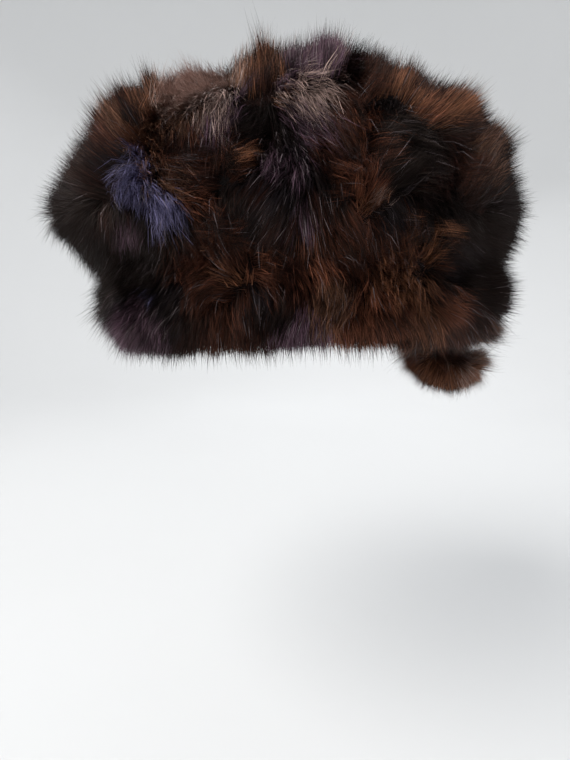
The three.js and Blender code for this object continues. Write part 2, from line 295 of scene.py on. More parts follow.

# Patches seen from the front, charted, and corrected after the means of small windows in
# photograph and render were compared. Tone by tone, and each tone from left to right.
# x, y, reach: pixels; flow: where the tips point, in degrees clockwise from straight up;
# silver: share of pale hairs, which also stand as painted glints.
Patch = namedtuple("Patch", "tone x y reach flow silver")
PATCHES = [Patch(tone, *row) for tone, group in (
    # Black: black fur, and partly painted shade in the dents at 246,126, at 357,140 and along the
    # diagonal from 388,100 to 436,146, in the fold at the left, under the crown's edge at 216,220 and
    # along the right side
    ("black", (
        (72, 204, 14, 240, 0.02), (74, 228, 18, 195, 0), (94, 250, 14, 172, 0.03),
        (96, 294, 16, 200, 0.02), (102, 190, 9, 150, 0.3), (118, 264, 20, 180, 0.04),
        (120, 214, 11, 158, 0.18), (138, 278, 20, 182, 0.05), (148, 72, 12, 0, 0),
        (152, 248, 11, 180, 0.06), (178, 308, 9, 182, 0.03), (216, 220, 10, 120, 0.03),
        (246, 126, 19, 250, 0.02), (256, 104, 13, 180, 0.04), (270, 136, 15, 160, 0.08),
        (278, 322, 9, 180, 0.04), (336, 192, 14, 175, 0.04), (357, 140, 6, 175, 0),
        (388, 100, 12, 200, 0.05), (400, 134, 12, 40, 0.14), (408, 112, 11, 210, 0.04),
        (412, 158, 12, 38, 0.1), (424, 124, 12, 210, 0.05), (432, 202, 12, 190, 0.06),
        (436, 146, 13, 205, 0), (450, 284, 14, 180, 0.03), (456, 208, 12, 185, 0),
        (474, 232, 15, 160, 0.01), (490, 282, 15, 110, 0.03), (498, 256, 14, 110, 0.02),
        (506, 298, 12, 92, 0.1), (510, 150, 10, 60, 0.02), (510, 226, 14, 115, 0.01),
        (514, 178, 11, 75, 0.02),
    )),
    # Charcoal: cold black fur; at 248,222 partly the painted shadow under the crown's edge
    ("charcoal", (
        (54, 194, 14, 290, 0.02), (100, 154, 18, 325, 0.01), (112, 306, 7, 165, 0.2),
        (126, 103, 7, 345, 0.02), (142, 230, 10, 165, 0.14), (150, 302, 12, 175, 0.18),
        (168, 324, 12, 180, 0.12), (178, 242, 10, 112, 0.34), (248, 222, 16, 205, 0.07),
        (262, 310, 15, 185, 0.1), (266, 188, 15, 212, 0.18), (280, 210, 16, 200, 0.18),
        (294, 140, 14, 150, 0.34), (312, 182, 12, 180, 0.16), (394, 228, 15, 185, 0.06),
        (410, 184, 10, 30, 0.28), (470, 262, 15, 160, 0.05), (524, 206, 9, 80, 0.05),
    )),
    ("espresso", (
        (72, 162, 18, 315, 0.02), (86, 178, 12, 300, 0.01), (104, 226, 14, 158, 0.1),
        (158, 152, 5, 150, 0), (182, 146, 17, 168, 0.05), (194, 332, 12, 170, 0.03),
        (206, 146, 16, 175, 0.1), (226, 190, 15, 195, 0.1), (244, 204, 14, 215, 0.12),
        (250, 332, 12, 165, 0.05), (263, 43, 7, 2, 0), (268, 62, 9, 5, 0.04),
        (274, 248, 16, 200, 0.1), (292, 302, 11, 185, 0.1), (322, 220, 12, 170, 0.12),
        (326, 162, 12, 170, 0.05), (356, 296, 9, 205, 0), (362, 66, 12, 172, 0.05),
        (408, 56, 9, 12, 0.05), (424, 352, 10, 285, 0.05), (430, 72, 10, 30, 0.05),
        (448, 176, 12, 190, 0.04), (452, 82, 9, 40, 0.05), (462, 126, 14, 120, 0.14),
        (462, 148, 16, 180, 0.04), (484, 106, 8, 50, 0.05), (486, 130, 7, 60, 0.03),
        (488, 196, 12, 8, 0.08), (488, 326, 12, 150, 0.18),
    )),
    ("brown", (
        (94, 126, 18, 330, 0.02), (94, 208, 12, 150, 0.06), (120, 96, 12, 340, 0.02),
        (150, 106, 12, 150, 0.08), (160, 160, 12, 145, 0.06), (186, 128, 13, 168, 0.14),
        (186, 264, 15, 130, 0.12), (194, 286, 11, 185, 0.05), (200, 304, 13, 165, 0.05),
        (208, 176, 13, 345, 0.22), (212, 284, 11, 295, 0.12), (214, 322, 12, 145, 0.1),
        (228, 142, 12, 185, 0.05), (228, 344, 13, 160, 0.05), (232, 258, 14, 350, 0.08),
        (248, 308, 10, 190, 0.03), (272, 294, 12, 120, 0.06), (308, 284, 11, 165, 0.08),
        (338, 140, 12, 165, 0.06), (342, 94, 12, 162, 0.08), (342, 260, 15, 155, 0.16),
        (346, 118, 11, 172, 0.06), (346, 234, 11, 140, 0.18), (350, 168, 10, 182, 0.08),
        (366, 262, 12, 190, 0.1), (376, 176, 11, 8, 0.12), (378, 84, 9, 15, 0.08),
        (381, 214, 10, 350, 0.06), (384, 64, 10, 8, 0.06), (398, 322, 14, 170, 0.06),
        (402, 250, 13, 185, 0.08), (438, 274, 10, 180, 0.04), (452, 258, 8, 55, 0.08),
        (456, 354, 14, 170, 0.05), (462, 332, 12, 150, 0.14), (482, 166, 9, 5, 0.1),
    )),
    ("taupe", (
        (110, 112, 9, 340, 0.03), (132, 132, 13, 140, 0.2), (148, 122, 9, 150, 0.05),
        (150, 172, 14, 128, 0.12), (162, 116, 12, 160, 0.22), (165, 184, 12, 114, 0.16),
        (178, 106, 13, 165, 0.12), (182, 194, 10, 110, 0.16), (236, 66, 10, 20, 0.04),
        (322, 324, 10, 210, 0.16), (338, 300, 13, 215, 0.12), (486, 348, 13, 40, 0.06),
        (494, 140, 9, 8, 0.04), (497, 166, 8, 10, 0.08),
    )),
    # Light: pale hair, and partly a painted highlight where light falls on the crown's top front, on
    # the whorl at 381,188 and on the tail
    ("light", (
        (178, 84, 18, 172, 0.04), (205, 76, 25, 180, 0.04), (206, 100, 19, 180, 0.08),
        (302, 88, 14, 150, 0.24), (322, 76, 17, 155, 0.18), (381, 188, 8, 5, 0.1),
        (462, 372, 11, 165, 0.05),
    )),
    ("rust", (
        (204, 204, 12, 115, 0.1), (252, 274, 11, 40, 0.06), (326, 274, 12, 170, 0.08),
        (360, 336, 12, 175, 0.06), (365, 128, 11, 185, 0.08), (368, 184, 11, 350, 0.1),
        (376, 316, 16, 160, 0.06), (393, 188, 10, 22, 0.12), (396, 342, 13, 172, 0.05),
        (438, 104, 12, 62, 0.1), (454, 312, 13, 130, 0.06),
    )),
    ("golden", (
        (138, 90, 9, 345, 0.02), (150, 84, 8, 355, 0.02), (150, 144, 10, 150, 0.04),
        (172, 160, 8, 150, 0.06), (226, 270, 10, 325, 0.06), (236, 164, 10, 20, 0.08),
        (240, 284, 12, 335, 0.06), (262, 56, 8, 2, 0.02), (275, 78, 11, 148, 0.12),
        (379, 198, 13, 5, 0.1), (398, 290, 18, 195, 0.08), (402, 72, 9, 12, 0.04),
        (420, 298, 13, 200, 0.05), (424, 258, 8, 310, 0.08), (426, 90, 14, 35, 0.05),
        (430, 324, 15, 170, 0.05), (434, 374, 14, 205, 0.08), (438, 258, 10, 5, 0.08),
        (456, 384, 12, 172, 0.05), (458, 102, 14, 50, 0.05), (474, 112, 8, 60, 0.05),
        (480, 372, 12, 125, 0.05),
    )),
    ("mauve", (
        (126, 244, 11, 158, 0.14), (132, 326, 14, 165, 0.1), (210, 118, 14, 182, 0.22),
        (234, 112, 11, 192, 0.12), (250, 78, 11, 15, 0.05), (284, 166, 15, 195, 0.26),
        (292, 70, 11, 148, 0.12), (298, 112, 14, 130, 0.4), (300, 336, 13, 188, 0.26),
        (302, 232, 11, 178, 0.3), (318, 54, 18, 4, 0.4), (320, 126, 14, 135, 0.26),
    )),
    # Slate: a painted sheen, the sky's blue grey reflected in the hair of the crescent at the left
    ("slate", (
        (123, 156, 11, 175, 0.1), (124, 174, 15, 165, 0.14), (136, 192, 18, 150, 0.18),
        (139, 300, 5, 178, 0.15), (152, 208, 15, 142, 0.18), (170, 224, 14, 150, 0.25),
    )),
) for row in group]

# Fur that is longer or shorter than the rest: pixels, reach, extra height and sweep in mm
Tuft = namedtuple("Tuft", "x y reach rise sweep")
TUFTS = [Tuft(*row) for row in (
    (263, 58, 6, 15, 0), (148, 80, 6, 10, 0), (522, 208, 8, 4, 0), (192, 70, 12, 4, 0),
    (222, 64, 12, -4, 0), (158, 82, 9, 3, 0), (126, 100, 11, 5, 0), (330, 44, 12, 4, 0),
    (396, 58, 12, -4, 0), (102, 110, 20, 6, 0), (432, 80, 14, -6, 0), (472, 100, 13, 6, 0),
    (507, 142, 15, 8, 0), (262, 44, 18, -4, 0), (60, 242, 12, -4, 0), (100, 316, 22, 7, 0),
    (124, 338, 12, 6, 0), (430, 336, 20, 2, 12), (474, 338, 22, 2, 12), (426, 352, 12, 5, 2),
    (482, 347, 11, 8, 3), (492, 332, 12, 2, 8), (490, 362, 14, 6, 0), (200, 272, 24, 4, 0),
    (245, 272, 24, 4, 0), (290, 271, 24, 5, 0), (335, 270, 24, 6, 0), (380, 269, 24, 6, 0),
    (425, 268, 24, 5, 0), (205, 85, 38, -3.5, 6), (165, 95, 20, -3, 5), (300, 92, 36, -2, 4),
    (345, 84, 24, -3, 5),
)]

# Patches where the front view doesn't reach, strewn by a seeded draw in these shares
HIDDEN_PATCHES = 90
# The slate share strews the painted sheen's blue grey at random
HIDDEN_SHARES = (
    ("black", 10), ("charcoal", 11), ("espresso", 18), ("brown", 20), ("taupe", 11), ("rust", 12),
    ("golden", 10), ("mauve", 6), ("slate", 2),
)


def hex_linear(text):
    """A colour like #8a5a44 as linear red, green, blue and alpha."""
    values = [int(text[k:k + 2], 16) / 255 for k in (1, 3, 5)]
    linear = [v / 12.92 if v <= 0.04045 else ((v + 0.055) / 1.055) ** 2.4 for v in values]
    return (*linear, 1.0)


def colour_property(name, description, default):
    """A colour that a user can pick, with its default as a hex value."""
    return FloatVectorProperty(
        name=name, description=description, subtype="COLOR", size=4, min=0, max=1,
        default=hex_linear(default))


def length_property(name, description, millimetres):
    """A length that a user can change, with its default in millimetres."""
    return FloatProperty(
        name=name, description=description, subtype="DISTANCE", unit="LENGTH",
        default=millimetres * MM, min=0, precision=5)


class FurCapSizes(bpy.types.PropertyGroup):
    """Sizes of the cap's hides and fur."""
    pile: length_property("Pile", "From the hide to the dense tips of the fur", 14)
    hide: length_property("Hide", "Thickness of the hide", 3)
    rise: length_property("Rise", "Height of the tips over the underfur", 8.0)
    sweep: length_property("Sweep", "How far the tips are combed along the pelt", 11)
    tuft: length_property("Tuft", "Distance between the tufts that the hairs gather in", 3.6)
    strand: length_property("Strand", "Width of a strand at its root", 0.29)
    crown_strands: IntProperty(
        name="Crown strands", description="Strands on the crown", default=392000, min=1000)
    band_strands: IntProperty(
        name="Band strands", description="Strands on the band", default=134000, min=1000)
    tail_strands: IntProperty(
        name="Tail strands", description="Strands on the tail", default=30000, min=500)


class FurCapColours(bpy.types.PropertyGroup):
    """Tones of the fur, and the hide."""
    black: colour_property("Black", "Blackest hairs", "#0f0909")
    charcoal: colour_property("Charcoal", "Cold black hairs", "#1b171a")
    espresso: colour_property("Espresso", "Very dark brown hairs", "#271410")
    brown: colour_property("Brown", "Middle brown hairs", "#492a1f")
    taupe: colour_property("Taupe", "Greyed light brown hairs", "#71503f")
    # Pale hair, partly a painted highlight on the lit places of the fur
    light: colour_property("Light", "Palest brown hairs", "#b39289")
    rust: colour_property("Rust", "Red brown hairs", "#6a402f")
    golden: colour_property("Golden", "Yellow brown hairs", "#734b36")
    mauve: colour_property("Mauve", "Grey brown hairs with a violet cast", "#58434f")
    # Blue grey of a painted sheen: the sky reflected in the hair
    slate: colour_property("Slate", "Blue grey hairs", "#6a6688")
    # Pale guard hairs, which also stand as painted glints on the fur
    silver: colour_property("Silver", "Single pale guard hairs", "#7c7174")
    glint: colour_property("Glint", "Tint of the shine on a hair", "#e0c3b4")
    hide: colour_property("Hide", "Tanned side of the pelt", "#8a7462")


class FurCapStudio(bpy.types.PropertyGroup):
    """Light and ground."""
    key: FloatProperty(
        name="Key light", description="Power of the big soft light overhead, in watts",
        default=28, min=0)
    fill: FloatProperty(
        name="Fill light", description="Power of the soft light at the right, in watts",
        default=8, min=0)
    back: FloatProperty(
        name="Back light", description="Power of the soft light behind, in watts",
        default=16, min=0)
    backdrop: colour_property("Backdrop", "Plain painted floor and sweep", "#d9dadb")
    sky: colour_property("Sky", "Light from all round", "#eef0f2")


def sizes():
    """The sizes that the panel shows."""
    return bpy.context.scene.fur_cap_sizes


def colours():
    """The colours that the panel shows."""
    return bpy.context.scene.fur_cap_colours


def studio():
    """The light that the panel shows."""
    return bpy.context.scene.fur_cap_studio


# Numbers

def unit(vectors):
    """Vectors of length one."""
    return vectors / np.maximum(np.linalg.norm(vectors, axis=-1, keepdims=True), SHORTEST)


def dot(first, second):
    """Dot products, kept as a column."""
    return (first * second).sum(axis=-1, keepdims=True)


def along_pelt(flow, normals):
    """Directions laid along the pelt."""
    return unit(flow - normals * dot(flow, normals))


def smooth(value):
    """An even step from 0 to 1."""
    value = np.clip(value, 0, 1)
    return value * value * (3 - 2 * value)


def lift_hem(points):
    """Lifts a band's points by the hem's lift at their azimuth, less and less up to the seam."""
    azimuth = np.degrees(np.arctan2(points[:, 1], points[:, 0]))
    stops = np.array(HEM_AZIMUTHS)
    lifts = np.array(HEM_LIFTS)
    after = np.clip(np.searchsorted(stops, azimuth), 1, len(stops) - 1)
    along = (azimuth - stops[after - 1]) / (stops[after] - stops[after - 1])
    lift = lifts[after - 1] + (lifts[after] - lifts[after - 1]) * smooth(along)
    points[:, 2] += lift * np.clip(1 - points[:, 2] / SEAM_Z, 0, 1)


def wander(points, grain, salt):
    """Smooth noise from -1 to 1 at points in mm, with grains of the given size."""
    shifted = points / grain + salt
    return np.array([noise.noise(Vector(place)) for place in shifted])


# Mesh

def deselect():
    """Leaves nothing selected."""
    bpy.ops.object.select_all(action="DESELECT")


def read_vectors(mesh, title):
    """Values of the vertices, three each."""
    values = np.empty(len(mesh.vertices) * 3)
    mesh.vertices.foreach_get(title, values)
    return values.reshape(-1, 3)


def read_points(mesh):
    """Vertex places in mm."""
    return read_vectors(mesh, "co") / MM


def read_normals(mesh):
    """Vertex normals."""
    return read_vectors(mesh, "normal")


def move_points(mesh, points):
    """Moves the vertices to places in mm."""
    mesh.vertices.foreach_set("co", (points * MM).ravel())
    mesh.update()


def move_selected(before, after):
    """Moves what is selected by the step between two places in mm."""
    bpy.ops.transform.translate(value=[(after[k] - before[k]) * MM for k in range(3)])


def place_ring(before, ring):
    """Resizes and moves the selected ring from one section to another."""
    centre = (before.cx * MM, before.cy * MM, before.z * MM)
    bpy.ops.transform.resize(
        value=(ring.hx / before.hx, ring.hy / before.hy, 1), center_override=centre)
    move_selected((before.cx, before.cy, before.z), (ring.cx, ring.cy, ring.z))


def loft(name, rings, around, looped=False):
    """A skin through rings: a circle extruded ring by ring, then looped or left open."""
    deselect()
    bpy.ops.mesh.primitive_circle_add(vertices=around, radius=MM, location=(0, 0, 0))
    piece = bpy.context.object
    piece.name = name
    piece.data.name = name
    bpy.ops.object.mode_set(mode="EDIT")
    bpy.ops.mesh.select_all(action="SELECT")
    place_ring(Section(0, 0, 1, 0, 1), rings[0])
    for before, ring in zip(rings, rings[1:]):
        bpy.ops.mesh.extrude_region_move()
        place_ring(before, ring)
    if looped:
        bpy.ops.mesh.select_mode(type="EDGE")
        select_border()
        bpy.ops.mesh.bridge_edge_loops()
    return piece


def select_border():
    """Selects the open edges alone, in edit mode."""
    bpy.ops.mesh.select_all(action="DESELECT")
    bpy.ops.mesh.select_non_manifold(extend=False)


def close_in_apex(last, apex):
    """Draws the selected ring together into a point."""
    bpy.ops.mesh.extrude_region_move()
    bpy.ops.mesh.merge(type="CENTER")
    move_selected((last.cx, last.cy, last.z), apex)


def face_outwards():
    """Turns all faces outwards, in edit mode."""
    bpy.ops.mesh.select_all(action="SELECT")
    bpy.ops.mesh.normals_make_consistent(inside=False)


def finish_edit(piece, levels):
    """Leaves edit mode and subdivides the piece."""
    bpy.ops.object.mode_set(mode="OBJECT")
    apply_modifier(piece, "SUBSURF", levels=levels, render_levels=levels)


def apply_modifier(piece, kind, **settings):
    """Adds a modifier with its settings and applies it."""
    bpy.context.view_layer.objects.active = piece
    bpy.ops.object.modifier_add(type=kind)
    modifier = piece.modifiers[-1]
    for setting, value in settings.items():
        setattr(modifier, setting, value)
    bpy.ops.object.modifier_apply(modifier=modifier.name)


def raise_lumps(points, normals, depth=0):
    """Swells and dents, along its normals, a skin that lies at a depth under the dense fur."""
    surface = points + normals * depth
    for lump in LUMPS:
        away = np.linalg.norm(surface - (lump.x, lump.y, lump.z), axis=1)
        points += normals * (lump.rise * np.exp(-LUMP_FALLOFF * (away / lump.radius) ** 2))[:, None]


def shape_pelt(piece, depth):
    """Gives a lofted skin its hem and lumps, and sinks it under the dense fur by a depth."""
    mesh = piece.data
    points = read_points(mesh)
    lift_hem(points)
    raise_lumps(points, read_normals(mesh))
    move_points(mesh, points)
    normals = read_normals(mesh)
    normals[:, 2] *= smooth(np.abs(points[:, 2] - SEAM_Z) / SEAM_BLEND)
    move_points(mesh, points - unit(normals) * depth)


def shade_smooth(piece):
    """Smooth shading."""
    deselect()
    piece.select_set(True)
    bpy.context.view_layer.objects.active = piece
    bpy.ops.object.shade_smooth()


# Nodes

def add_node(tree, kind, settings=None, links=None):
    """Adds a node. settings: its own values; links: its inputs, as values or as sockets."""
    node = tree.nodes.new(kind)
    for setting, value in (settings or {}).items():
        setattr(node, setting, value)
    for socket, value in (links or {}).items():
        if isinstance(value, bpy.types.NodeSocket):
            tree.links.new(value, node.inputs[socket])
        else:
            node.inputs[socket].default_value = value
    return node


def new_material(name):
    """An empty material, its tree and its output."""
    material = bpy.data.materials.new(name)
    material.use_nodes = True
    tree = material.node_tree
    tree.nodes.clear()
    return material, tree, add_node(tree, "ShaderNodeOutputMaterial")


def scaled(colour, factor):
    """A darker or lighter shade of a colour."""
    return (*(min(value * factor, 1) for value in colour[:3]), 1)


def fill_ramp(ramp, stops):
    """Sets a colour ramp from pairs of position and colour."""
    while len(ramp.elements) < len(stops):
        ramp.elements.new(0.5)
    for element, (position, colour) in zip(ramp.elements, stops):
        element.position = position
        element.color = colour


# Guard hair of mink, dressed and combed: a hard, smooth hair, with painted shade towards its root,
# deep in the pile. It gives each strand a fine silky glint, over tones that change from patch to
# patch, some of them painted light and shade.
def guard_hair(name, roughness):
    """Mink guard hair. Its map gives the tone across and the way from root to tip up."""
    material, tree, output = new_material(name)
    chart = add_node(tree, "ShaderNodeUVMap", {"uv_map": STRAND_MAP})
    parts = add_node(tree, "ShaderNodeSeparateXYZ", links={"Vector": chart.outputs["UV"]})
    tone = add_node(tree, "ShaderNodeValToRGB", links={"Fac": parts.outputs["X"]})
    stops = []
    for number, title in enumerate(TONES):
        colour = tuple(getattr(colours(), title))
        stops.append(((number + TONE_EDGE) / len(TONES), scaled(colour, TONE_DARK)))
        stops.append(((number + 1 - TONE_EDGE) / len(TONES), scaled(colour, TONE_LIGHT)))
    fill_ramp(tone.color_ramp, stops)
    # Painted shade: each strand darkens towards its root, for the shade deep in the pile
    shade = add_node(tree, "ShaderNodeValToRGB", links={"Fac": parts.outputs["Y"]})
    fill_ramp(shade.color_ramp, [(place, (grey, grey, grey, 1)) for place, grey in STRAND_PAINTED_SHADES])
    mixed = add_node(tree, "ShaderNodeMix", MULTIPLY, {
        MIX_FACTOR: 1.0, MIX_FIRST: tone.outputs["Color"], MIX_SECOND: shade.outputs["Color"]})
    shader = add_node(tree, "ShaderNodeBsdfPrincipled", links={
        "Base Color": mixed.outputs[MIX_RESULT], "Roughness": roughness, "IOR": KERATIN_IOR,
        "Specular IOR Level": HAIR_SPECULAR, "Specular Tint": tuple(colours().glint)})
    tree.links.new(shader.outputs["BSDF"], output.inputs["Surface"])
    return material


def dull_finish(name, look, dark, pale):
    """A dull finish: tones that cloud over from place to place, with a fine raised grain."""
    material, tree, output = new_material(name)
    place = add_node(tree, "ShaderNodeTexCoord").outputs["Object"]
    cloud = add_node(tree, "ShaderNodeTexNoise", links={
        "Vector": place, "Scale": 1 / (look.cloud * MM), "Detail": look.cloud_detail})
    grain = add_node(tree, "ShaderNodeTexNoise", links={
        "Vector": place, "Scale": 1 / (look.grain * MM), "Detail": look.grain_detail})
    tone = add_node(tree, "ShaderNodeValToRGB", links={"Fac": cloud.outputs["Fac"]})
    fill_ramp(tone.color_ramp, [
        (look.dark_at, scaled(dark, look.dark)), (look.pale_at, scaled(pale, look.pale))])
    shade = add_node(tree, "ShaderNodeMapRange", links={
        "Value": grain.outputs["Fac"], "From Min": NOISE_LOW, "From Max": NOISE_HIGH,
        "To Min": look.low, "To Max": 1.0})
    mixed = add_node(tree, "ShaderNodeMix", MULTIPLY, {
        MIX_FACTOR: 1.0, MIX_FIRST: tone.outputs["Color"], MIX_SECOND: shade.outputs["Result"]})
    bump = add_node(tree, "ShaderNodeBump", links={
        "Height": grain.outputs["Fac"], "Strength": look.relief, "Distance": look.grain * MM})
    shader = add_node(tree, "ShaderNodeBsdfPrincipled", links={
        "Base Color": mixed.outputs[MIX_RESULT], "Roughness": look.roughness,
        "Normal": bump.outputs["Normal"], "Specular IOR Level": look.specular,
        "Sheen Weight": look.sheen})
    tree.links.new(shader.outputs["BSDF"], output.inputs["Surface"])
    return material


# Mink underfur: short, dull, dense wool, painted near black as shade. It gives the deep dark
# between the guard hairs.
def underfur_wool(name):
    """Underfur, painted dark as shade, mottled from patch to patch, with the grain of its locks."""
    return dull_finish(name, WOOL, colours().black, colours().espresso)


# Dressed pelt, tawed on the flesh side: a dry, matt suede with a faint nap and cloudy tone.
def tawed_hide(name):
    """The flesh side of the pelts."""
    return dull_finish(name, SUEDE, colours().hide, colours().hide)


# Emulsion paint, rolled on a plain sweep: flat, pale and even.
def backdrop_paint(name):
    """Pale matt paint with the faintest unevenness."""
    material, tree, output = new_material(name)
    place = add_node(tree, "ShaderNodeTexCoord").outputs["Object"]
    cloud = add_node(tree, "ShaderNodeTexNoise", links={
        "Vector": place, "Scale": 1 / (PAINT_CLOUD * MM)})
    tone = add_node(tree, "ShaderNodeValToRGB", links={"Fac": cloud.outputs["Fac"]})
    fill_ramp(tone.color_ramp, [
        (NOISE_LOW, scaled(studio().backdrop, PAINT_DARK)), (NOISE_HIGH, tuple(studio().backdrop))])
    shader = add_node(tree, "ShaderNodeBsdfPrincipled", links={
        "Base Color": tone.outputs["Color"], "Roughness": PAINT_ROUGHNESS,
        "Specular IOR Level": PAINT_SPECULAR})
    tree.links.new(shader.outputs["BSDF"], output.inputs["Surface"])
    return material


def finish_piece(piece, material, slot, *nodes):
    """Gives a piece its finish and its place in the frame."""
    piece.data.materials.clear()
    piece.data.materials.append(material)
    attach(piece, "root")
    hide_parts(*nodes)


# Fur

Roots = namedtuple("Roots", "points normals")
Tufts = namedtuple("Tufts", "points normals flow tone other mixed silver rise sweep shade pull tree")
Strands = namedtuple("Strands", "corners tone bent")


def in_order(corners, normals):
    """Sorts triangles and their corners by place, so that a draw always finds the same ones."""
    key = corners @ np.array(SORTING_AXIS)
    turns = np.argsort(key, axis=1)[:, :, None]
    rows = np.argsort(key.sum(axis=1))
    return [np.take_along_axis(values, turns, axis=1)[rows] for values in (corners, normals)]


def strew(surface, count, rng):
    """Strews roots evenly over a surface, in mm."""
    mesh = surface.data
    mesh.calc_loop_triangles()
    triangles = np.empty(len(mesh.loop_triangles) * 3, np.int32)
    mesh.loop_triangles.foreach_get("vertices", triangles)
    triangles = triangles.reshape(-1, 3)
    corners, normals = in_order(read_points(mesh)[triangles], read_normals(mesh)[triangles])
    across = np.cross(corners[:, 1] - corners[:, 0], corners[:, 2] - corners[:, 0])
    weight = np.linalg.norm(across, axis=1)
    chosen = rng.choice(len(weight), count, p=weight / weight.sum())
    a = rng.random((count, 1))
    b = rng.random((count, 1))
    outside = a + b > 1
    a = np.where(outside, 1 - a, a)
    b = np.where(outside, 1 - b, b)
    shares = np.concatenate((1 - a - b, a, b), axis=1)[:, :, None]
    points = (corners[chosen] * shares).sum(axis=1)
    return Roots(points, unit((normals[chosen] * shares).sum(axis=1)))


def to_frame(points):
    """Pixels of the frame at which the camera sees points in mm."""
    offset = points - np.array(CAMERA_PLACE)
    sine, cosine = math.sin(CAMERA_DIP), math.cos(CAMERA_DIP)
    depth = offset[:, 1] * cosine - offset[:, 2] * sine
    up = offset[:, 1] * sine + offset[:, 2] * cosine
    x = FRAME_WIDTH / 2 + FOCAL_PX * offset[:, 0] / depth
    return x, FRAME_HEIGHT / 2 - FOCAL_PX * up / depth


def read_chart(points):
    """Tones, share of silver and image direction of the combing, from the patches of the front."""
    chart = Patch(*(np.array(column) for column in zip(*PATCHES)))
    x, y = to_frame(points)
    x = x + CHART_WOBBLE * wander(points, CHART_GRAIN, SALTS.chart_x)
    y = y + CHART_WOBBLE * wander(points, CHART_GRAIN, SALTS.chart_y)
    score = np.hypot(x[:, None] - chart.x, y[:, None] - chart.y) / chart.reach
    order = np.argsort(score, axis=1)[:, :2]
    mixed = border_mix(np.take_along_axis(score, order, axis=1), CHART_BORDER)
    weight = np.exp(-CHART_FOCUS * score ** 2) + FAINTEST
    angle = np.radians(chart.flow)
    tones = np.array([TONES.index(title) for title in chart.tone])[order]
    silver = SILVER_AND_GLINT_SHARE * chart.silver[order[:, 0]]
    return tones, mixed, silver, weight @ np.sin(angle), weight @ -np.cos(angle)


def charted_flow(combing, normals, to_camera):
    """Turns image directions, right and down, into directions along the pelt."""
    right, down = combing
    camera_up = np.array((0, math.sin(CAMERA_DIP), math.cos(CAMERA_DIP)))
    flow = right[:, None] * np.array((1, 0, 0)) - down[:, None] * camera_up
    facing = np.maximum(dot(normals, to_camera), STEEPEST)
    flow = unit(flow) - to_camera * dot(unit(flow), normals) / facing
    return along_pelt(flow, normals)


def border_mix(distances, border):
    """Share of the second nearest patch's tone, one half where two patches meet."""
    return 0.5 * (1 - smooth((distances[:, 1] - distances[:, 0]) / border))


def draw_hidden(points, normals, rng):
    """Tones and combing where the camera doesn't see, by patches drawn at random."""
    centres = points[rng.choice(len(points), HIDDEN_PATCHES, replace=False)]
    pool = [TONES.index(title) for title, share in HIDDEN_SHARES for _ in range(share)]
    tones = rng.choice(pool, HIDDEN_PATCHES)
    turns = rng.uniform(-HIDDEN_TURN, HIDDEN_TURN, HIDDEN_PATCHES)
    away = np.linalg.norm(points[:, None] - centres[None], axis=2)
    away += HIDDEN_WOBBLE * wander(points, CHART_GRAIN, SALTS.hidden)[:, None]
    order = np.argsort(away, axis=1)[:, :2]
    mixed = border_mix(np.take_along_axis(away, order, axis=1), HIDDEN_BORDER)
    weight = np.exp(-(away / HIDDEN_REACH) ** 2) + FAINTEST
    turn = np.radians((weight * turns).sum(axis=1) / weight.sum(axis=1))[:, None]
    slope = unit(np.array((0, 0, -1)) + normals * normals[:, 2:] + NUDGE)
    flow = slope * np.cos(turn) + np.cross(normals, slope) * np.sin(turn)
    return tones[order], mixed, flow


def lengthen(seen, facing, rises, sweeps):
    """Makes tufts longer or shorter by the table, and says how well each one gathers its hairs."""
    x, y = to_frame(seen)
    gathered = np.ones(len(seen))
    for tuft in TUFTS:
        near = np.exp(-((x - tuft.x) ** 2 + (y - tuft.y) ** 2) / tuft.reach ** 2)
        near *= facing > CHART_LIMIT
        rises += tuft.rise * near
        sweeps += tuft.sweep * near
        if tuft.rise < 0:
            gathered *= 1 - near
    return gathered


def comb(seeds, rise, sweep, rng):
    """Turns seeds into tufts, each with its tone and the way it is combed."""
    points, normals = seeds
    count = len(points)
    seen = points + normals * rise
    to_camera = unit(np.array(CAMERA_PLACE) - seen)
    facing = dot(normals, to_camera)[:, 0]
    facing += EDGE_WOBBLE * wander(points, CHART_GRAIN, SALTS.edge)
    charted = charted_flow(read_chart(seen)[3:], normals, to_camera)
    tips = seen + charted * sweep * TIP_READING
    tones, mixed, silver, *combing = read_chart(tips)
    charted = unit(charted + charted_flow(combing, normals, to_camera))
    hidden_tones, hidden_mixed, hidden = draw_hidden(points, normals, rng)
    hide = facing < CHART_LIMIT
    tone, other = np.where(hide[:, None], hidden_tones, tones).T
    mixed = np.where(hide, hidden_mixed, mixed)
    silver = np.where(hide, HIDDEN_SILVER_AND_GLINT, silver)
    blend = smooth((facing - CHART_LIMIT) / CHART_FADE)[:, None]
    flow = charted * blend + hidden * (1 - blend)
    flow = along_pelt(flow + rng.normal(0, TUFT_STRAY, flow.shape), normals)
    lift = 1 + LOCK_LIFT * wander(points, LOCK_GRAIN, SALTS.lock)
    lift += TUFT_LIFT * wander(points, TUFT_GRAIN, SALTS.tuft)
    rises = rise * lift * rng.uniform(*TUFT_RISES, count)
    sweeps = sweep * rng.uniform(*TUFT_SWEEPS, count)
    gathered = lengthen(seen, facing, rises, sweeps)
    shade = TUFT_SHADE + LOCK_SHADE * wander(points, LOCK_GRAIN, SALTS.shade)
    shade += rng.normal(0, TUFT_SHADE_STRAY, count)
    pull = rng.uniform(*TUFT_PULL, count) * gathered
    tree = KDTree(count)
    for number, point in enumerate(points):
        tree.insert(point, number)
    tree.balance()
    return Tufts(
        points, normals, flow, tone, other, mixed, silver, rises, sweeps, shade, pull, tree)


def lean(stand, rise, sweep):
    """Places at a height over roots and at a way along the pelt from them."""
    points, normals, flow = stand
    return points + normals * rise + flow * sweep


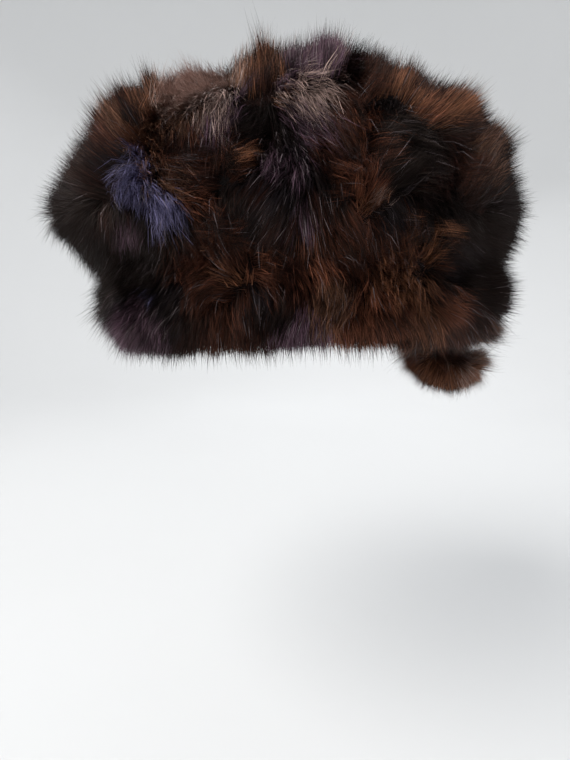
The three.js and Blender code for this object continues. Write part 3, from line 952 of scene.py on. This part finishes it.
def draw_tones(tufts, near, bent, guard, silver, rng):
    """Where each strand's tone lies on the ramp: its tuft's tone, varied, or that of a guard hair."""
    strange = rng.random(len(near)) < tufts.mixed[near]
    tone = np.where(strange, tufts.other[near], tufts.tone[near])
    dark = guard & (rng.random(len(near)) < DARK_GUARDS) & ~np.isin(tone, PALE_TONES)
    tone = np.where(dark, TONES.index("black"), tone)
    tone = np.where(silver, TONES.index("silver"), tone)
    # Paler hairs, partly painted glints, lifted up their tone's ramp
    pale_and_glint = bent & ~guard & (rng.random(len(near)) < PALE_AND_GLINT_SHARE)
    shade = tufts.shade[near] + rng.normal(0, STRAND_SHADE, len(near)) + PALE_AND_GLINT_LIFT * pale_and_glint
    return (tone + TONE_EDGE + (1 - 2 * TONE_EDGE) * np.clip(shade, *SHADE_LIMITS)) / len(TONES)


def plant(roots, tufts, width, rng):
    """Strands on their roots, some bent and long, most straight and short."""
    points, normals = roots
    count = len(points)
    bent = np.arange(count) < count * BENT_SHARE
    guard = bent & (rng.random(count) < GUARD_SHARE / BENT_SHARE)
    strayed = points + rng.normal(0, TUFT_BLUR, points.shape)
    near = np.array([tufts.tree.find(point)[1] for point in strayed])
    long = np.where(bent, 1, SHORT)
    rise = tufts.rise[near] * rng.uniform(*STRAND_RISES, count) * long
    rise = (rise + guard * rng.uniform(*GUARD_RISE, count))[:, None]
    sweep = (tufts.sweep[near] * rng.uniform(*STRAND_SWEEPS, count) * long)[:, None]
    flow = along_pelt(tufts.flow[near] + rng.normal(0, STRAND_STRAY, points.shape), normals)
    pull = tufts.pull[near] * rng.uniform(*STRAND_PULLS, count)
    pull = (pull * np.where(guard, GUARD_PULL, 1))[:, None]
    own = (points, normals, flow)
    shared = (tufts.points[near], tufts.normals[near], tufts.flow[near])
    tip = lean(own, rise, sweep)
    tip += (lean(shared, rise, sweep) - tip) * pull
    bend = (rise * MIDDLE_RISE, sweep * MIDDLE_SWEEP)
    middle = lean(own, *bend)
    middle += (lean(shared, *bend) - middle) * pull * MIDDLE_PULL
    root = points - normals * ROOT_SUNK
    along = unit(tip - root)
    side = unit(np.cross(along, normals))
    roll = rng.uniform(-ROLL_RANGE, ROLL_RANGE, count)[:, None]
    side = side * np.cos(roll) + np.cross(along, side) * np.sin(roll)
    # Silver hairs among the bent ones: pale hairs, partly painted glints
    silver = bent & (rng.random(count) < tufts.silver[near])
    thin = np.where(guard | silver, GUARD_WIDTH, 1)
    side *= (width / 2 * rng.uniform(*STRAND_WIDTHS, count) * thin)[:, None]
    corners = np.stack((
        root - side, root + side, middle + side * MIDDLE_WIDTH, middle - side * MIDDLE_WIDTH, tip),
        axis=1)
    return Strands(corners, draw_tones(tufts, near, bent, guard, silver, rng), bent)


def strand_mesh(name, strands):
    """Joins strands into a mesh, with its map of tone across and length up."""
    places, loops, starts, chart = [], [], [], []
    vertices, ends = 0, 0
    for form, mask in ((BENT, strands.bent), (STRAIGHT, ~strands.bent)):
        tone = strands.tone[mask]
        count = len(tone)
        numbers = np.arange(count)[:, None]
        places.append(strands.corners[mask][:, form.kept].reshape(-1, 3))
        loops.append((vertices + numbers * len(form.kept) + form.order).ravel())
        starts.append((ends + numbers * len(form.order) + form.starts).ravel())
        length = np.tile(np.array(form.lengths)[list(form.order)], count)
        chart.append(np.stack((np.repeat(tone, len(form.order)), length), axis=1))
        vertices += count * len(form.kept)
        ends += count * len(form.order)
    mesh = bpy.data.meshes.new(name)
    mesh.vertices.add(vertices)
    mesh.vertices.foreach_set("co", (np.concatenate(places) * MM).ravel())
    mesh.loops.add(ends)
    mesh.loops.foreach_set("vertex_index", np.concatenate(loops).astype(np.int32))
    starts = np.concatenate(starts)
    mesh.polygons.add(len(starts))
    mesh.polygons.foreach_set("loop_start", starts.astype(np.int32))
    mesh.update(calc_edges=True)
    layer = mesh.uv_layers.new(name=STRAND_MAP)
    layer.uv.foreach_set("vector", np.concatenate(chart).ravel())
    mesh.validate()
    mesh.shade_smooth()
    piece = bpy.data.objects.new(name, mesh)
    bpy.context.collection.objects.link(piece)
    return piece


def tuft_count(surface):
    """How many tufts cover a surface."""
    area = sum(face.area for face in surface.data.polygons)
    return int(area / sizes().tuft ** 2)


# Skins

def crown_dome(name, depth, levels):
    """The crown's skin at a depth under the dense fur, open below."""
    piece = loft(name, CROWN_SECTIONS, AROUND)
    close_in_apex(CROWN_SECTIONS[-1], CROWN_TOP)
    face_outwards()
    finish_edit(piece, levels)
    shape_pelt(piece, depth)
    return piece


def band_ring(name, depth, levels):
    """The band's skin at a depth under the dense fur, from the seam to where the hem rolls in."""
    piece = loft(name, BAND_SECTIONS + HEM_ROLL, AROUND)
    face_outwards()
    finish_edit(piece, levels)
    shape_pelt(piece, depth)
    return piece


def tail_core(name, depth, levels):
    """The tail's closed core at a depth under its dense fur."""
    angle = math.radians(TAIL_AZIMUTH)
    rings = [
        Section(row.z, row.out * math.cos(angle), row.radius, row.out * math.sin(angle), row.radius)
        for row in TAIL_SECTIONS]
    piece = loft(name, rings, TAIL_AROUND)
    last = rings[-1]
    close_in_apex(last, (last.cx, last.cy, TAIL_TIP_Z))
    select_border()
    first = rings[0]
    close_in_apex(first, (first.cx, first.cy, first.z))
    face_outwards()
    finish_edit(piece, levels)
    mesh = piece.data
    move_points(mesh, read_points(mesh) - read_normals(mesh) * depth)
    return piece


def cuff_rings():
    """Rings up the outside of the padded cuff and down its inside."""
    hx, hy = OPENING
    outside = [
        Section(row.z, row.cx, row.hx - CUFF_DEPTH, row.cy, row.hy - CUFF_DEPTH)
        for row in reversed(BAND_SECTIONS[1:-1])]
    top = BAND_SECTIONS[0]
    inset = CUFF_DEPTH + CUFF_ROUNDING
    over = Section(CUFF_BRIM, top.cx, top.hx - inset, top.cy, top.hy - inset)
    lip = Section(CUFF_BRIM, 0, hx + CUFF_ROUNDING, 0, hy + CUFF_ROUNDING)
    inside = [Section(z, 0, hx, 0, hy) for z in CUFF_INSIDE_HEIGHTS]
    return [CUFF_FOOT, *outside, over, lip, *inside]


# Pieces

def crown_hide():
    """The hide of the crown: one puffed wall, open below."""
    depth = sizes().pile / MM
    piece = crown_dome("crown_hide", depth, PLAIN_LEVELS)
    apply_modifier(piece, "SOLIDIFY", thickness=sizes().hide, offset=-1)
    shade_smooth(piece)
    finish_piece(piece, tawed_hide("Tawed pelt, crown"), "hide", "crown_skin")


def cuff():
    """The cuff: the band's hide, folded and padded into a soft ring."""
    piece = loft("cuff", cuff_rings(), AROUND, looped=True)
    face_outwards()
    finish_edit(piece, FINE_LEVELS)
    mesh = piece.data
    points = read_points(mesh)
    lift_hem(points)
    raise_lumps(points, read_normals(mesh), CUFF_DEPTH)
    move_points(mesh, points)
    shade_smooth(piece)
    finish_piece(piece, tawed_hide("Tawed pelt, cuff"), "hide", "band_skin")


def underfur(name, build, slot, node):
    """The dense wool that the guard hairs stand in: a wall on the back of the pelt."""
    piece = build(name, UNDERFUR_DEPTH, FINE_LEVELS)
    apply_modifier(piece, "SOLIDIFY", thickness=UNDERFUR_THICKNESS * MM, offset=-1)
    shade_smooth(piece)
    finish_piece(piece, underfur_wool("Mink underfur, " + name), slot, node)


def grow(build, depth, count, rise, sweep, seed):
    """Strands planted over a skin, gathered in tufts, with the roots that they stand on."""
    rng = np.random.default_rng(seed)
    surface = build("planting", depth, FINE_LEVELS)
    seeds = strew(surface, tuft_count(surface), rng)
    roots = strew(surface, count, rng)
    bpy.data.objects.remove(surface)
    tufts = comb(seeds, rise, sweep, rng)
    return roots, plant(roots, tufts, sizes().strand / MM, rng)


def plant_whole(name, strands, node):
    """One piece of planted hair, which covers a whole pelt."""
    hair = guard_hair("Mink guard hair, " + name, SHORT_ROUGHNESS)
    finish_piece(strand_mesh(name + "_hair", strands), hair, name + "_fur", node)


class FURCAP_OT_hides(bpy.types.Operator):
    """Make the hide of the crown and the padded cuff"""
    bl_idname = "fur_cap.hides"
    bl_label = "Hides"

    def execute(self, context):
        crown_hide()
        cuff()
        return {"FINISHED"}


class FURCAP_OT_underfur(bpy.types.Operator):
    """Make the underfur of the crown, the band and the tail"""
    bl_idname = "fur_cap.underfur"
    bl_label = "Underfur"

    def execute(self, context):
        underfur("crown_underfur", crown_dome, "crown_fur", "crown_fur")
        underfur("band_underfur", band_ring, "band_fur", "band_fur")
        piece = tail_core("tail_core", TAIL_CORE_DEPTH, FINE_LEVELS)
        shade_smooth(piece)
        finish_piece(piece, underfur_wool("Mink underfur, tail"), "tail_fur", "tail")
        return {"FINISHED"}


class FURCAP_OT_crown_fur(bpy.types.Operator):
    """Plant the guard hair of the crown, in front, behind and on top"""
    bl_idname = "fur_cap.crown_fur"
    bl_label = "Crown fur"

    def execute(self, context):
        size = sizes()
        roots, strands = grow(
            crown_dome, UNDERFUR_DEPTH, size.crown_strands, size.rise / MM, size.sweep / MM,
            CROWN_SEED)
        top = roots.points[:, 2] > TOP_Z
        front = roots.points[:, 1] < 0
        hair = guard_hair("Mink guard hair, crown", CROWN_ROUGHNESS)
        for title, mask in (("top", top), ("front", front & ~top), ("back", ~front & ~top)):
            part = Strands(*(values[mask] for values in strands))
            piece = strand_mesh("crown_hair_" + title, part)
            finish_piece(piece, hair, "crown_fur", "crown_fur")
        return {"FINISHED"}


class FURCAP_OT_band_fur(bpy.types.Operator):
    """Plant the guard hair of the band, round to where the hem rolls in"""
    bl_idname = "fur_cap.band_fur"
    bl_label = "Band fur"

    def execute(self, context):
        size = sizes()
        strands = grow(
            band_ring, UNDERFUR_DEPTH, size.band_strands, size.rise / MM,
            size.sweep / MM * BAND_SWEEP, BAND_SEED)[1]
        plant_whole("band", strands, "band_fur")
        return {"FINISHED"}


class FURCAP_OT_tail_fur(bpy.types.Operator):
    """Plant the guard hair of the tail"""
    bl_idname = "fur_cap.tail_fur"
    bl_label = "Tail fur"

    def execute(self, context):
        strands = grow(
            tail_core, TAIL_CORE_DEPTH, sizes().tail_strands, TAIL_RISE, TAIL_SWEEP, TAIL_SEED)[1]
        plant_whole("tail", strands, "tail")
        return {"FINISHED"}


def add_camera():
    """The camera, a little under the crown's middle and tipped down."""
    data = bpy.data.cameras.new("Camera")
    data.sensor_fit = "AUTO"
    data.sensor_width = SENSOR_MM
    data.lens = FOCAL_PX * SENSOR_MM / FRAME_HEIGHT
    data.clip_start = CLOSEST_SEEN
    camera = bpy.data.objects.new("Camera", data)
    camera.location = Vector(CAMERA_PLACE) * MM
    camera.rotation_euler = (math.pi / 2 - CAMERA_DIP, 0, 0)
    bpy.context.collection.objects.link(camera)
    bpy.context.scene.camera = camera


def add_light(lamp, power):
    """A big soft light that looks at the cap."""
    data = bpy.data.lights.new(lamp.title, "AREA")
    data.shape = "DISK"
    data.size = LAMP_SIZE
    data.energy = power
    data.color = lamp.colour
    light = bpy.data.objects.new(lamp.title, data)
    light.location = lamp.place
    aim = Vector(CAP_MIDDLE) * MM - Vector(lamp.place)
    light.rotation_euler = aim.to_track_quat("-Z", "Y").to_euler()
    bpy.context.collection.objects.link(light)


def add_backdrop():
    """A pale floor that sweeps up into a wall all round."""
    rings = [Section(z, 0, radius, 0, radius) for radius, z in SWEEP_RINGS]
    sweep = loft("sweep", rings, AROUND)
    close_in_apex(rings[-1], (0, 0, rings[-1].z))
    finish_edit(sweep, FINE_LEVELS)
    shade_smooth(sweep)
    sweep.data.materials.append(backdrop_paint("Rolled emulsion paint"))


class FURCAP_OT_studio(bpy.types.Operator):
    """Make the camera, the soft lights and the pale sweep"""
    bl_idname = "fur_cap.studio"
    bl_label = "Studio"

    def execute(self, context):
        add_camera()
        for lamp in LAMPS:
            add_light(lamp, getattr(studio(), lamp.title.lower()))
        add_backdrop()
        world = bpy.data.worlds.new("Soft sky")
        world.use_nodes = True
        glow = world.node_tree.nodes["Background"]
        glow.inputs["Color"].default_value = studio().sky
        glow.inputs["Strength"].default_value = SKY_STRENGTH
        bpy.context.scene.world = world
        bpy.context.scene.view_settings.view_transform = "Standard"
        return {"FINISHED"}


class FURCAP_PT_panel(bpy.types.Panel):
    """The cap's steps, sizes and colours"""
    bl_idname = "FURCAP_PT_panel"
    bl_label = "Fur Cap"
    bl_space_type = "VIEW_3D"
    bl_region_type = "UI"
    bl_category = "Fur Cap"

    def draw(self, context):
        for operator in OPERATORS:
            self.layout.operator(operator.bl_idname)
        for group in (sizes(), colours(), studio()):
            box = self.layout.box()
            for title in group.__annotations__:
                box.prop(group, title)


OPERATORS = (
    FURCAP_OT_studio, FURCAP_OT_hides, FURCAP_OT_underfur, FURCAP_OT_crown_fur,
    FURCAP_OT_band_fur, FURCAP_OT_tail_fur)
SETTINGS = {
    "fur_cap_sizes": FurCapSizes, "fur_cap_colours": FurCapColours, "fur_cap_studio": FurCapStudio}
CLASSES = (*SETTINGS.values(), *OPERATORS, FURCAP_PT_panel)


def register():
    """Registers the classes and the settings."""
    for kind in CLASSES:
        bpy.utils.register_class(kind)
    for title, group in SETTINGS.items():
        setattr(bpy.types.Scene, title, PointerProperty(type=group))


def unregister():
    """Takes the settings and the classes away."""
    for title in SETTINGS:
        delattr(bpy.types.Scene, title)
    for kind in reversed(CLASSES):
        bpy.utils.unregister_class(kind)


def main():
    """Makes the cap and its studio."""
    register()
    bpy.ops.fur_cap.studio()
    bpy.ops.fur_cap.hides()
    bpy.ops.fur_cap.underfur()
    bpy.ops.fur_cap.crown_fur()
    bpy.ops.fur_cap.band_fur()
    bpy.ops.fur_cap.tail_fur()


if __name__ == "__main__":
    main()
